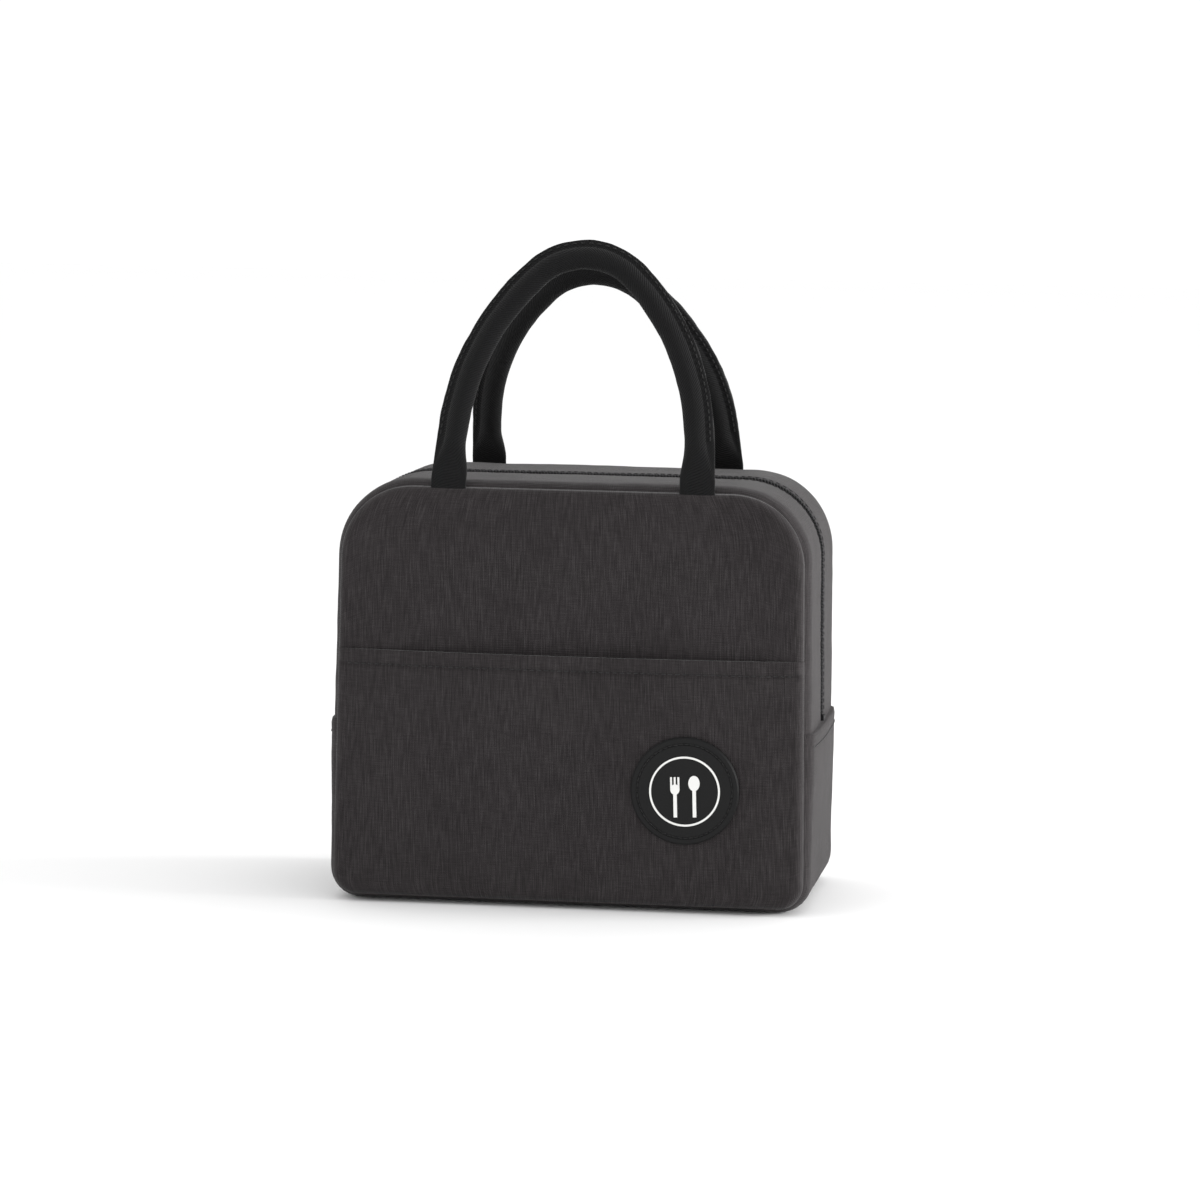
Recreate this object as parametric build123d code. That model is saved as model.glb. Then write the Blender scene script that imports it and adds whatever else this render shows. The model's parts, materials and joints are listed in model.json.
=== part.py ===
"""Soft insulated lunch bag: a padded, foil-lined bag with a zip over its top and two carry handles.

Units are millimetres. X is the bag's width, Y its depth with the front at -Y, and Z is up. The origin
is the middle of the flat base. The bag is sewn from a front and a rear panel, and a gusset band that
runs round between them. The upper half of the band is two strips with the zip between them; the lower
half is one piece. Each wall has three layers: cloth outside, foam, and a foil lining.

The walls fold outwards at fold_z when the zip is open, so whatever crosses that line is cut there:
the lower pieces belong to the fixed tub, the upper ones to the front or the rear half.
"""
from build123d import *
from math import atan2, copysign, cos, degrees, pi, radians, sin
import os

# ---------------------------------------------------------------- driving dimensions: the body
seam_w_base = 229.0      # width between the side seams at the base
seam_w_top = 223.0       # width between the side seams at the top
seam_base_z = 3.0        # height of the seam round the base
seam_top_z = 202.0       # height of the seam at the top
body_depth = 130.0       # outer face of the front panel to outer face of the rear one
top_corner_r = 35.0      # rounding of the panels' upper corners
base_corner_r = 12.0     # rounding of the panels' lower corners
crown = 3.0              # how far the gusset stands out past the seams
shoulder_w = 9.0         # width of the gusset's sloping edge, beside each seam

# layers of the walls
cloth_t = 1.0
foam_t = 4.0
foil_t = 0.5
panel_edge = 3.0         # bevel of a panel's outer edge, by the seam
fit_gap = 0.2            # between pieces that are stitched face to face but may slide

# the fold and the side seams
fold_z = 87.0            # height where the zip ends, and the walls fold when it is open
fold_gap = 0.5           # between the tub and the halves above it

# front pocket
pocket_hem_z = 123.0     # top edge of the pocket
pocket_bulge = 7.0       # how far the hem stands off the front at its middle
hem_depth = 10.0         # turned-in part of the hem
hem_t = 0.8

# badge on the pocket
badge_x = 57.5
badge_z = 60.0
badge_r = 26.0
badge_t = 2.0
badge_rim = 0.7          # bevel of its rim
badge_groove_r = 22.8    # where the stitches run
badge_groove_w = 1.2
badge_groove_d = 0.6
motif_t = 0.5            # raised white motif
motif_ring_r = 16.5
motif_ring_w = 0.9
motif_half_gap = 4.6     # from the middle to the fork's and the spoon's middle lines
motif_stem_w = 1.7       # stems of the fork and the spoon
motif_stem_len = 13.5
motif_neck = 1.0         # height of the stems' upper ends, over the badge's middle
motif_lap = 0.8          # how far the spoon's stem runs into its bowl
tine_w = 0.9
tine_gap = 0.85
tine_len = 6.0
fork_head_h = 5.0
spoon_bowl_w = 5.4
spoon_bowl_h = 7.4

# inside seam binding
binding_t = 2.2
binding_h = 5.0

# zip
zip_slot_w = 10.0        # between the folded edges of the two cloth strips
zip_tape_w = 12.5        # one tape, from beside the coil to its outer edge
zip_tape_t = 0.8
coil_gap = 1.0           # between the two coils, where the slider's post runs
coil_w = 2.4
coil_h = 1.5

# zip slider and its pull
slider_len = 14.0
slider_w = 9.4
slider_plate_t = 1.1
slider_clear = 0.25      # round the coils and tapes
slider_flange_w = 0.9
slider_post_w = 0.6
slider_post_len = 5.0
slider_above_fold = 4.0  # where its lower end parks, measured up from fold_z
stop_up = 0.5            # the stop's lower face, measured up from fold_z
stop_len = 2.4
bail_len = 8.0
bail_w = 3.0
bail_t = 1.1
bail_rise = 3.9          # height of the bail above the upper plate
bail_bevel = 1.4         # its outer corners
slider_corner = 1.6      # corners of its plates
pull_pin_r = 0.8
pull_pin_clear = 0.35
pull_len = 30.0
pull_w = 8.0
pull_t = 1.8
pull_window_len = 6.5    # open space below the pin
pull_window_w = 4.4
pull_top = 0.9           # the lugs end this far above the pin's middle line
pull_tip_hole_r = 1.6
pull_tip_hole_up = 3.6   # from the tip to the hole's middle

# handles
handle_span = 120.0      # between the middles of the two ends
handle_rise = 111.0      # from the pivot to the middle of the arch, along the handle's own plane
handle_leg = 28.0        # straight part of each leg
handle_leg_in = 2.7      # how far a leg leans towards the middle over its straight part
handle_turn_1 = 45.0     # steepness, in degrees from upright, where the tight arc at the top takes over
handle_core_w = 8.0      # filler rope, across the handle's plane
handle_core_d = 6.0      # filler rope, through the plane
handle_wall = 1.5        # webbing round the rope
handle_fin = 3.4         # stitched edge of the webbing, on the outside of the arch
handle_fin_t = 2.4
handle_end_w = 17.0      # flattened end
handle_end_t = 2.4
handle_flare = 20.0      # over which the round handle turns into its flat end
tab_below_pivot = 3.2    # from the pivot to the middle of the tab's rounded top
tab_h = 8.5              # height of the tab
pivot_up = 4.0           # the pivot's height above the seam
front_lean = 18.6        # degrees that the front handle leans in over the bag at rest
rear_lean = 30.0         # the rear handle leans in further

# ---------------------------------------------------------------- worked-out places
half_depth = body_depth / 2
wall_t = cloth_t + foam_t
panel_back = half_depth - wall_t               # inner face of a panel's foam, from the middle plane
band_half = panel_back - foil_t - fit_gap      # half width of the gusset's foam and lining
cloth_half = panel_back - fit_gap / 2          # half width of the gusset's cloth
tape_top = crown - cloth_t                     # level of the tape's upper face, out from the seam line
coil_top = tape_top + coil_h
coil_in = coil_gap / 2
side_tilt = atan2((seam_w_base - seam_w_top) / 2, seam_top_z - seam_base_z)
front_fold_y = -(half_depth + cloth_t + pocket_bulge)
rear_fold_y = half_depth + fit_gap
deck = coil_top + slider_clear + slider_plate_t                # top of the slider, out from the seam line
pin_out = deck + bail_rise - bail_t - pull_pin_clear - pull_pin_r   # the pull's pin
pivot_z = seam_top_z + pivot_up
pivot_y = half_depth - wall_t + handle_end_t / 2


def side_x(z):
    """Distance of the side seam from the middle plane at height z."""
    share = (z - seam_base_z) / (seam_top_z - seam_base_z)
    return (seam_w_base + (seam_w_top - seam_w_base) * share) / 2


def panel_outline(inset=0.0):
    """The outline of a panel, as a face in the XZ plane, moved in from the seam line by inset."""
    base, top = side_x(seam_base_z) - inset, side_x(seam_top_z) - inset
    low, high = seam_base_z + inset, seam_top_z - inset
    corners = [(base, 0, low), (top, 0, high), (-top, 0, high), (-base, 0, low)]
    r_low, r_high = base_corner_r - inset, top_corner_r - inset
    line = FilletPolyline(*corners, radius=[r_low, r_high, r_high, r_low], close=True)
    return make_face(line)


def upper_path(start_z):
    """The seam line from the right side, over the top, to the left side."""
    top = side_x(seam_top_z)
    x = side_x(start_z)
    points = [(x, 0, start_z), (top, 0, seam_top_z), (-top, 0, seam_top_z), (-x, 0, start_z)]
    return FilletPolyline(*points, radius=top_corner_r)


def lower_path(end_z):
    """The seam line from the left side, under the base, to the right side."""
    base = side_x(seam_base_z)
    x = side_x(end_z)
    points = [(-x, 0, end_z), (-base, 0, seam_base_z), (base, 0, seam_base_z), (x, 0, end_z)]
    return FilletPolyline(*points, radius=base_corner_r)


def carried(section, start, forward, x_dir, edge):
    """Carries a section along one straight or circular edge. The section's X points along x_dir."""
    face = Plane(origin=start, x_dir=x_dir, z_dir=forward) * section
    if edge.geom_type == GeomType.LINE:
        return extrude(face, amount=edge.length)
    arm = start - edge.arc_center
    turn = degrees(edge.length / edge.radius)
    return revolve(face, axis=Axis(edge.arc_center, arm.cross(forward)), revolution_arc=turn)


def joined(pieces):
    """Pieces that meet face to face, as one solid."""
    return pieces[0].fuse(*pieces[1:]).clean()


def band(section, path):
    """Carries a section, drawn as (out from the seam line, world Y), along a seam path."""
    middle = Vector(0, 0, seam_top_z / 2)
    pieces = []
    for edge in path.edges():
        start, forward = edge @ 0, edge % 0
        if Vector(0, 1, 0).cross(forward).dot(start - middle) < 0:
            start, forward = edge @ 1, edge % 1 * -1
        pieces.append(carried(section, start, forward, Vector(0, 1, 0).cross(forward), edge))
    return joined(pieces)


def shoulder(depth, side):
    """The gusset's sloping edge, depth below its outer surface, from its flat middle to the seam."""
    return Line((crown - depth, side * (cloth_half - shoulder_w)), (-depth, side * cloth_half))


def layer_section(depth, thickness, sign=0, inner_y=0.0):
    """A layer of the gusset, depth below its outer surface. sign 0 spans the full width; +1 or -1 is
    the rear or the front strip alone, from inner_y outwards."""
    sides = (sign,) if sign else (-1, 1)
    outer = [shoulder(depth, side) for side in sides]
    inner = [shoulder(depth + thickness, side) for side in sides]
    if sign:
        top, low = (crown - depth, sign * inner_y), (crown - depth - thickness, sign * inner_y)
        ends = [Line(outer[0] @ 0, top), Line(top, low), Line(low, inner[0] @ 0)]
    else:
        ends = [
            Line(outer[0] @ 0, outer[1] @ 0),
            Line(outer[0] @ 1, inner[0] @ 1),
            Line(inner[0] @ 0, inner[1] @ 0),
        ]
    return make_face([*outer, *inner, Line(outer[-1] @ 1, inner[-1] @ 1), *ends])


def box_section(n_low, n_high, y_low, y_high):
    """A rectangle in a band's section."""
    return Pos((n_low + n_high) / 2, (y_low + y_high) / 2) * Rectangle(n_high - n_low, y_high - y_low)


def only(shape, z_low=None, z_high=None):
    """The part of a shape above z_low or below z_high."""
    if z_low is not None:
        shape = split(shape, bisect_by=Plane.XY.offset(z_low), keep=Keep.TOP)
    if z_high is not None:
        shape = split(shape, bisect_by=Plane.XY.offset(z_high), keep=Keep.BOTTOM)
    return shape


# ---------------------------------------------------------------- front and rear panels
def panel_slab(inset, outer_y, inner_y, bevel=0.0):
    """A slab with the panel's outline whose outer edge is bevelled, for the front (towards -Y)."""
    slab = Pos(0, -inner_y, 0) * extrude(panel_outline(inset), amount=outer_y - inner_y, dir=(0, -1, 0))
    if not bevel:
        return slab
    return chamfer(slab.faces().sort_by(Axis.Y)[0].edges(), bevel)


def panel_layers():
    """Cloth, foam and foil of the front panel, as whole pieces."""
    solid = panel_slab(0, half_depth, panel_back, panel_edge)
    foam = panel_slab(cloth_t, half_depth - cloth_t, panel_back, panel_edge * foam_t / wall_t)
    foil = panel_slab(cloth_t + foam_t / 2, panel_back, panel_back - foil_t)
    return {"panel": solid - foam, "foam": foam, "lining": foil}


# ---------------------------------------------------------------- pocket
def pocket_slice(z, y_near, y_far, bulge):
    """A closed face at height z between two arcs that meet the panel at the sides."""
    reach = side_x(z) - panel_edge - fit_gap
    bow = max(bulge, 0.02)
    near = ThreePointArc((-reach, -y_near, z), (0, -y_near - bow, z), (reach, -y_near, z))
    far = ThreePointArc((reach, -y_far, z), (0, -y_far - bow, z), (-reach, -y_far, z))
    return make_face([near, Line(near @ 1, far @ 0), far, Line(far @ 1, near @ 0)])


def bulge_at(z):
    """The pocket's stand-off at its middle, which grows evenly from the base seam to the hem."""
    return pocket_bulge * (z - seam_base_z) / (pocket_hem_z - seam_base_z)


def pocket_layer(y_near, y_far):
    """A bulging sheet from the base seam to the hem, between two distances from the middle plane."""
    slices = [pocket_slice(z, y_near, y_far, bulge_at(z)) for z in (seam_base_z, pocket_hem_z)]
    return loft(slices, ruled=True)


def pocket():
    """The pocket sheet, with its hem turned in at the top."""
    sheet = pocket_layer(half_depth, half_depth + cloth_t)
    hem = only(pocket_layer(half_depth - hem_t, half_depth), z_low=pocket_hem_z - hem_depth)
    outline = extrude(panel_outline(panel_edge), amount=pocket_bulge + 2 * cloth_t, dir=(0, -1, 0))
    return (sheet + hem) & (Pos(0, -half_depth, 0) * outline)


# ---------------------------------------------------------------- badge
def badge_plane():
    """A plane on the pocket's outer face, square to it, at the badge's middle. Its Z points outwards."""
    reach = side_x(badge_z) - panel_edge
    flat = 1 - (badge_x / reach) ** 2
    slope_x = -2 * bulge_at(badge_z) * badge_x / reach**2
    slope_z = pocket_bulge / (pocket_hem_z - seam_base_z) * flat
    y = -(half_depth + cloth_t + bulge_at(badge_z) * flat)
    normal = Vector(-slope_x, -1, -slope_z).normalized()
    origin = Vector(badge_x, y, badge_z) + normal * fit_gap
    return Plane(origin=origin, x_dir=(1, 0, -slope_x), z_dir=normal)


def ring(r_out, r_in, height):
    """A flat ring, standing on the local XY plane."""
    return extrude(Circle(r_out) - Circle(r_in), amount=height)


def badge():
    """A round moulded rubber badge with a stitching groove and a bevelled rim."""
    disc = extrude(Circle(badge_r), amount=badge_t)
    disc = chamfer(disc.faces().sort_by(Axis.Z)[-1].edges(), badge_rim)
    groove = ring(badge_groove_r + badge_groove_w / 2, badge_groove_r - badge_groove_w / 2, badge_groove_d)
    return disc - Pos(0, 0, badge_t - badge_groove_d) * groove


def stem():
    """The stem of the fork or the spoon, hanging from its neck."""
    return Pos(0, motif_neck - motif_stem_len / 2) * Rectangle(motif_stem_w, motif_stem_len)


def fork():
    """A plain fork, its stem at the bottom."""
    pitch = tine_w + tine_gap
    head = Pos(0, motif_neck) * Ellipse(pitch + tine_w / 2, fork_head_h / 2)
    shape = stem() + head
    for i in (-1, 0, 1):
        shape += Pos(i * pitch, motif_neck + tine_len / 2) * Rectangle(tine_w, tine_len)
    return shape


def spoon():
    """A plain spoon, its stem at the bottom."""
    bowl_mid = motif_neck - motif_lap + spoon_bowl_h / 2
    return Pos(0, bowl_mid) * Ellipse(spoon_bowl_w / 2, spoon_bowl_h / 2) + stem()


def badge_motif():
    """The raised white motif: a ring, a fork and a spoon."""
    flat = Circle(motif_ring_r + motif_ring_w / 2) - Circle(motif_ring_r - motif_ring_w / 2)
    flat += Pos(-motif_half_gap, 0) * fork()
    flat += Pos(motif_half_gap, 0) * spoon()
    return Pos(0, 0, badge_t) * extrude(flat, amount=motif_t)


# ---------------------------------------------------------------- gusset
def strip_foam_section(sign):
    """Foam under one zip strip, rebated for the tape."""
    deep = layer_section(cloth_t, foam_t, sign, zip_slot_w / 2)
    near, far = zip_slot_w / 2 - cloth_t, coil_in + coil_w / 2 + zip_tape_w
    y_from, y_to = sorted((sign * near, sign * far))
    return trimmed(deep - box_section(tape_top - zip_tape_t, tape_top + cloth_t, y_from, y_to))


def trimmed(section):
    """A foam or foil section, cut back to clear the panels' own layers."""
    return section & box_section(crown - wall_t - 2 * foil_t, crown, -band_half, band_half)


def tape_section(sign):
    """One zip tape."""
    y_from, y_to = sorted((sign * coil_in, sign * (coil_in + zip_tape_w)))
    return box_section(tape_top - zip_tape_t, tape_top, y_from, y_to)


def coil_section(sign):
    """One coil, a bevelled bead that stands on its tape's edge."""
    low, high, bevel = tape_top, tape_top + coil_h, coil_h / 3
    near, far = sign * coil_in, sign * (coil_in + coil_w)
    in_near, in_far = near + sign * bevel, far - sign * bevel
    near_side = [(low, near), (high - bevel, near), (high, in_near)]
    far_side = [(high, in_far), (high - bevel, far), (low, far)]
    return make_face(Polyline(*near_side, *far_side, close=True))


def binding_section(sign):
    """The bound seam allowance inside, a fin that stands in from the gusset beside the panel."""
    base_n = -(wall_t + foil_t + fit_gap / 2)
    y = sign * (band_half - binding_t / 2)
    return Pos(base_n - binding_h / 2, y) * Rectangle(binding_h, binding_t)


# ---------------------------------------------------------------- zip ends, slider and pull
def side_frame(up):
    """A plane on the left side seam line, up from the fold: Z runs up the zip, X points outwards."""
    z = fold_z + up * cos(side_tilt)
    upward = Vector(sin(side_tilt), 0, cos(side_tilt))
    outward = Vector(-cos(side_tilt), 0, sin(side_tilt))
    return Plane(origin=(-side_x(z), 0, z), x_dir=outward, z_dir=upward)


zip_end_h = slider_above_fold + slider_len + 0.8


def zip_end():
    """The lower end of the zip, standing on the local XY plane: both coils, each on its tape."""
    section = coil_section(-1) + coil_section(1)
    for sign in (-1, 1):
        y_from, y_to = sorted((sign * coil_in, sign * slider_w / 2))
        section += box_section(tape_top - zip_tape_t, tape_top, y_from, y_to)
    return extrude(section, amount=zip_end_h)


def zip_stop():
    """The moulded stop that holds the two coils together below the slider."""
    height, width = coil_h + 0.7, 2 * (coil_in + coil_w) + 1.2
    block = Pos(tape_top + height / 2, 0, stop_up + stop_len / 2) * Box(height, width, stop_len)
    return fillet(block.edges().filter_by(Axis.Z), 0.5) - zip_end()


def on_both_sides(shape):
    """What stands at the fold on the left side seam, and its mirror image on the right."""
    left = side_frame(0) * shape
    return Compound(children=[*left.solids(), *mirror(left, about=Plane.YZ).solids()])


def slider_section(width):
    """The slider's two plates and its side flanges, seen along the zip."""
    top_in, low_in = coil_top + slider_clear, tape_top - zip_tape_t - slider_clear
    upper = box_section(top_in, top_in + slider_plate_t, -width / 2, width / 2)
    lower = box_section(low_in - slider_plate_t, low_in, -width / 2, width / 2)
    flange_low = tape_top + slider_clear
    shape = upper + lower
    for sign in (-1, 1):
        y_from, y_to = sorted((sign * (width / 2 - slider_flange_w), sign * width / 2))
        shape += box_section(flange_low, top_in, y_from, y_to)
    return shape


def slider():
    """The zip slider with its post and its bail, in the frame of its own lower end."""
    top_in, low_in = coil_top + slider_clear, tape_top - zip_tape_t - slider_clear
    body = extrude(slider_section(slider_w), amount=slider_len)
    corners = [e for e in body.edges().filter_by(Axis.X) if abs(e.center().Y) > slider_w / 2 - fit_gap]
    body = chamfer(corners, slider_corner)
    post = Pos((top_in + low_in) / 2, 0, slider_len - slider_post_len / 2) * Box(
        top_in - low_in, slider_post_w, slider_post_len
    )
    bail = extrude(bail_profile(), amount=bail_w / 2, both=True)
    return body + post + Pos(deck, 0, slider_len / 2) * Rot(90, 0, 0) * bail


def bail_arch(rise, length, bevel):
    """Half of a bevelled block, standing on the upper plate, X out and Y along the zip."""
    low = (0, -length / 2)
    points = [low, (rise - bevel, -length / 2), (rise, bevel - length / 2)]
    points += [(x, -y) for x, y in reversed(points)]
    return make_face(Polyline(*points, close=True))


def bail_profile():
    """The bail seen from the side: a low arch over the upper plate."""
    foot = Pos(-cloth_t / 2, 0) * Rectangle(cloth_t, bail_len)
    outer = bail_arch(bail_rise, bail_len, bail_bevel) + foot
    inner = bail_arch(bail_rise - bail_t, bail_len - 2 * bail_t, bail_bevel / 2)
    return outer - inner - foot


def pull():
    """The pull tab, hanging from its pin: two lugs hold the pin, and the bail passes between them."""
    tab = Pos(0, pull_top - pull_len / 2) * RectangleRounded(pull_w, pull_len, pull_w * 0.3)
    slot_top = 2 * pull_top
    tab -= Pos(0, (slot_top - pull_window_len) / 2) * Rectangle(pull_window_w, pull_window_len + slot_top)
    tab -= Pos(0, pull_top - pull_len + pull_tip_hole_up) * Circle(pull_tip_hole_r)
    plate = Rot(0, 0, 90) * Rot(90, 0, 0) * extrude(tab, amount=pull_t / 2, both=True)
    pin_len = (pull_w + pull_window_w) / 2
    return plate + Rot(90, 0, 0) * Cylinder(pull_pin_r, pin_len)


# ---------------------------------------------------------------- handles
def handle_radii():
    """The two radii of the arch: the long side arc and the tight top arc, which meet at a tangent."""
    lean = atan2(handle_leg_in, handle_leg)
    turn = radians(handle_turn_1)
    run = handle_span / 2 - handle_leg_in
    rise = handle_rise - handle_leg
    a, b = cos(lean) - cos(turn), cos(turn)
    c, d = sin(turn) - sin(lean), 1 - sin(turn)
    side = (run * d - rise * b) / (a * d - b * c)
    top = (rise * a - run * c) / (a * d - b * c)
    return side, top, degrees(lean)


def handle_half_path():
    """The right half of the handle's middle line in its own XY plane, from the pivot to the top."""
    side_r, top_r, lean = handle_radii()
    leg = Line((handle_span / 2, 0), (handle_span / 2 - handle_leg_in, handle_leg))
    side = JernArc(leg @ 1, leg % 1, side_r, handle_turn_1 - lean)
    top = JernArc(side @ 1, side % 1, top_r, 90 - handle_turn_1)
    return leg, side, top


def oval(wide, deep, power=2.0, sides=8):
    """A closed outline of straight sides, from an ellipse at power 2 towards a rectangle above it."""
    points = []
    for i in range(sides):
        angle = 2 * pi * (i + 0.5) / sides
        c, s = cos(angle), sin(angle)
        x = copysign(abs(c) ** (2 / power), c) * wide / 2
        points.append((x, copysign(abs(s) ** (2 / power), s) * deep / 2))
    return make_face(Polyline(*points, close=True))


def sleeve_section():
    """The rolled webbing round its rope, with the stitched edge as a fin on the outside of the arch."""
    wide, deep = handle_core_w + 2 * handle_wall, handle_core_d + 2 * handle_wall
    fin = box_section(wide / 2 - handle_wall, wide / 2 + handle_fin, -handle_fin_t / 2, handle_fin_t / 2)
    return oval(wide, deep) + fin - rope_section()


def rope_section():
    """The filler rope."""
    return oval(handle_core_w, handle_core_d, sides=6)


def half_arch(section, up=0.0):
    """A section carried over the right half of the arch, starting up along the leg."""
    leg, side, top = handle_half_path()
    pieces = []
    for edge in (Line(leg @ (up / leg.length), leg @ 1), side, top):
        forward = edge % 0
        pieces.append(carried(section, edge @ 0, forward, Vector(forward.Y, -forward.X), edge))
    return joined(pieces)


def flat_end():
    """The webbing's flattened end, from the pivot to where the round handle begins."""
    leg = handle_half_path()[0]
    forward = leg % 0
    sideways = Vector(forward.Y, -forward.X)
    wide = handle_core_w + 2 * handle_wall + handle_fin
    foot = Plane(origin=leg @ 0, x_dir=sideways, z_dir=forward)
    neck = Plane(origin=leg @ (handle_flare / leg.length), x_dir=sideways, z_dir=forward)
    flat = foot * oval(handle_end_w, handle_end_t, power=6)
    full = neck * Pos(handle_fin / 2) * oval(wide, handle_core_d + handle_wall, power=3)
    return loft([flat, full], ruled=True)


def handle():
    """The webbing and its rope, upright, with the pivot line at z 0."""
    knuckle = Pos(handle_span / 2) * Rot(0, 90, 0) * Cylinder(handle_end_t / 2, handle_end_w - 1.0)
    webbing = joined([half_arch(sleeve_section(), handle_flare), flat_end(), knuckle])
    halves = [Rot(90, 0, 0) * half for half in (webbing, half_arch(rope_section(), handle_flare))]
    return [joined([half, mirror(half, about=Plane.YZ)]) for half in halves]


def handle_tabs():
    """The two flat ends that are sewn into the top seam, for the front, each rounded at its top."""
    height = tab_h - handle_end_t / 2
    blank = Pos(0, -height / 2) * Rectangle(handle_end_t, height) + Circle(handle_end_t / 2)
    side = Rot(0, 0, 90) * Rot(90, 0, 0) * extrude(blank, amount=handle_end_w / 2, both=True)
    tab = Pos(handle_span / 2, -pivot_y, pivot_z - tab_below_pivot) * side
    return [tab, mirror(tab, about=Plane.YZ)]


# ---------------------------------------------------------------- putting it together
def build():
    nodes = {}
    tub_top, half_low = fold_z - fold_gap / 2, fold_z + fold_gap / 2
    under, over = lower_path(tub_top), upper_path(half_low)

    # walls of the front and the rear, cut at the fold
    layers = panel_layers()
    tabs = handle_tabs()
    for end, turn in (("front", 0), ("rear", 180)):
        spin = Rot(0, 0, turn)
        for name, whole in layers.items():
            upper = only(whole, z_low=half_low)
            for tab in tabs:
                upper = upper - tab
            nodes[f"{end}_{name}_lower"] = spin * only(whole, z_high=tub_top)
            nodes[f"{end}_{name}_upper"] = spin * upper
        nodes[f"{end}_handle_tabs"] = spin * Compound(children=tabs)

    # gusset: one piece below the fold, two strips with the zip between them above it
    nodes["base_gusset"] = band(layer_section(0, cloth_t), under)
    nodes["base_gusset_foam"] = band(trimmed(layer_section(cloth_t, foam_t)), under)
    nodes["base_gusset_lining"] = band(trimmed(layer_section(wall_t, foil_t)), under)
    zip_from = upper_path(fold_z + zip_end_h * cos(side_tilt) + fold_gap)
    for end, sign in (("front", -1), ("rear", 1)):
        spin = Rot(0, 0, 0 if sign < 0 else 180)
        cut = [spin * tab for tab in tabs]
        strip = band(layer_section(0, cloth_t, sign, zip_slot_w / 2), over)
        foam = band(strip_foam_section(sign), over)
        for tab in cut:
            strip, foam = strip - tab, foam - tab
        nodes[f"{end}_zip_strip"] = strip
        nodes[f"{end}_zip_strip_foam"] = foam
        foil = layer_section(wall_t, foil_t, sign, zip_slot_w / 2)
        nodes[f"{end}_zip_strip_lining"] = band(trimmed(foil), over)
        nodes[f"{end}_zip_tape"] = band(tape_section(sign), zip_from)
        nodes[f"{end}_zip_coil"] = band(coil_section(sign), zip_from)
        nodes[f"{end}_binding_upper"] = band(binding_section(sign), over)
        nodes[f"{end}_binding_lower"] = band(binding_section(sign), under)

    # pocket and badge
    whole = pocket()
    nodes["pocket_lower"] = only(whole, z_high=tub_top)
    nodes["pocket_upper"] = only(whole, z_low=half_low)
    at = badge_plane()
    nodes["badge"] = at * badge()
    nodes["badge_motif"] = at * badge_motif()

    # zip ends, slider and pull
    nodes["zip_ends"] = on_both_sides(zip_end())
    nodes["zip_stops"] = on_both_sides(zip_stop())
    frame = side_frame(slider_above_fold)
    nodes["zip_slider"] = frame * slider()
    nodes["zip_pull"] = frame * Pos(pin_out, 0, slider_len / 2) * pull()

    # handles, leaning in
    webbing, rope = handle()
    for end, lean, turn in (("front", front_lean, 0), ("rear", rear_lean, 180)):
        place = Rot(0, 0, turn) * Pos(0, -pivot_y, pivot_z) * Rot(-lean, 0, 0)
        nodes[f"{end}_handle"] = place * webbing
        nodes[f"{end}_handle_rope"] = place * rope
    return nodes


def main():
    os.makedirs("parts", exist_ok=True)
    for name, shape in build().items():
        export_step(shape, f"parts/{name}.step")
    print("front fold axis y", front_fold_y, "rear", rear_fold_y, "z", fold_z)
    print("handle pivots y", -pivot_y, pivot_y, "z", pivot_z)


main()
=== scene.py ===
"""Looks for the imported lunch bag: padded cloth walls, a pocket, foil linings, a zip, a badge and two handles.

Lengths are metres in the part's own frame: X across, Y from the front (-) to the rear, Z up.
"""

import json
import math

import bmesh
import bpy
import numpy as np
from mathutils import Matrix, Vector, noise
from mathutils.bvhtree import BVHTree

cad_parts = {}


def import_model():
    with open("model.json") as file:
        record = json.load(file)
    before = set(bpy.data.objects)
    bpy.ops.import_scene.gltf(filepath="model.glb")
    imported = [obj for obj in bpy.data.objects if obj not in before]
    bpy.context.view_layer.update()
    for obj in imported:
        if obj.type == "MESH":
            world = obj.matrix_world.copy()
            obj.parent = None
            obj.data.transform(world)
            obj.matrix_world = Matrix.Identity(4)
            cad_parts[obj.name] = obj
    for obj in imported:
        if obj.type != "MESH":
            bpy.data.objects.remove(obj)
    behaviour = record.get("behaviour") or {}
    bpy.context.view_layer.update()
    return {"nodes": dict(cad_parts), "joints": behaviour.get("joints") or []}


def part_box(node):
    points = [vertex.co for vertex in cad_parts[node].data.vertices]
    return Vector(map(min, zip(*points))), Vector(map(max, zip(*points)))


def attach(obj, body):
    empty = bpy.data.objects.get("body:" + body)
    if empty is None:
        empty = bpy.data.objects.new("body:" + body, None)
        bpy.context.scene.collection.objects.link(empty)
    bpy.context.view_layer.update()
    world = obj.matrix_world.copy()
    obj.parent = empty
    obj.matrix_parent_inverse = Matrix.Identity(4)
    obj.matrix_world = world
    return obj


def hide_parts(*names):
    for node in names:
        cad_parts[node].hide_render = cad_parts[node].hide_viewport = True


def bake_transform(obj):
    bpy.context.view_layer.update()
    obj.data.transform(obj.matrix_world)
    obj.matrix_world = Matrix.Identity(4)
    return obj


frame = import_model()

MM = 0.001

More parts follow.
